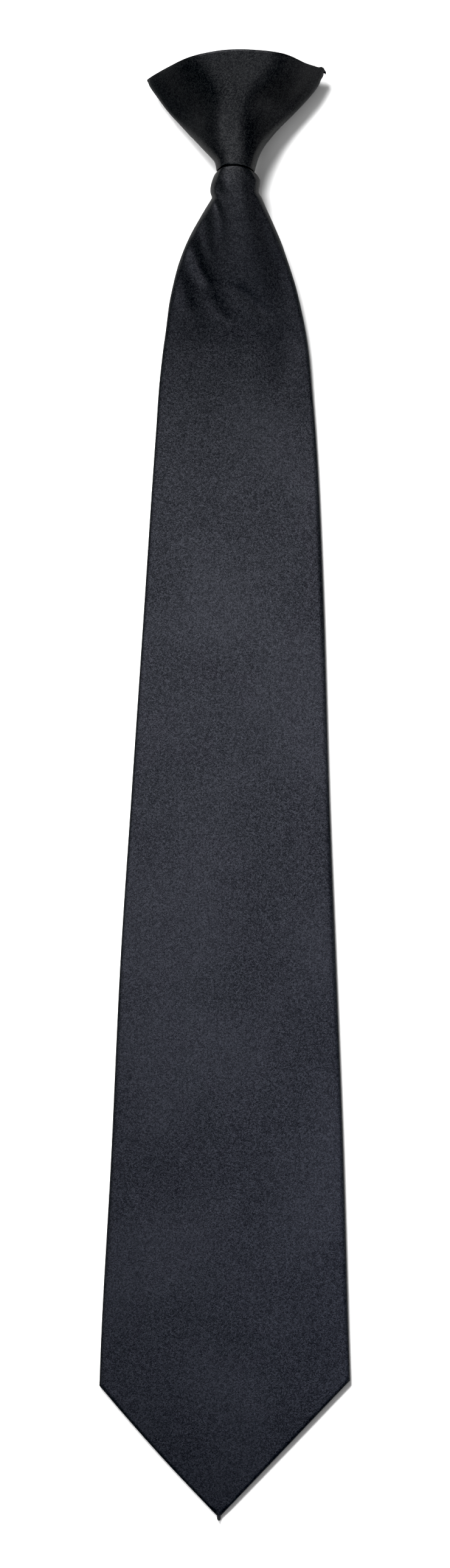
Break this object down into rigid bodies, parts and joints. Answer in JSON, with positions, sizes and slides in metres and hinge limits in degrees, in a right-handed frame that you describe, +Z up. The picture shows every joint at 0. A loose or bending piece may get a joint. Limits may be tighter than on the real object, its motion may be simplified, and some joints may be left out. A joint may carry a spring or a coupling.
{
  "type": "clip-on necktie",
  "caption": "Ready-tied satin clip-on necktie lying face up, with a hollow fan-shaped knot, a folded blade with a gathered neck and pointed end, and a hidden hook clip for a shirt collar.",
  "frame": {"origin": "on the table, under the middle of the tie's bounding box", "axes": "+X across the tie to the wearer's left as it lies face up, +Y from the point of the blade up to the knot, +Z up out of the tie's face"},
  "size_m": [0.087, 0.5082, 0.0245],
  "materials": {
    "satin": "near-black charcoal satin with a soft sheen and a fine twill grain",
    "clip_plastic": "plain moulded black plastic"
  },
  "bodies": {
    "root": {"knot_wrap": "satin", "blade": "satin", "collar_clip": "clip_plastic"}
  },
  "joints": []
}
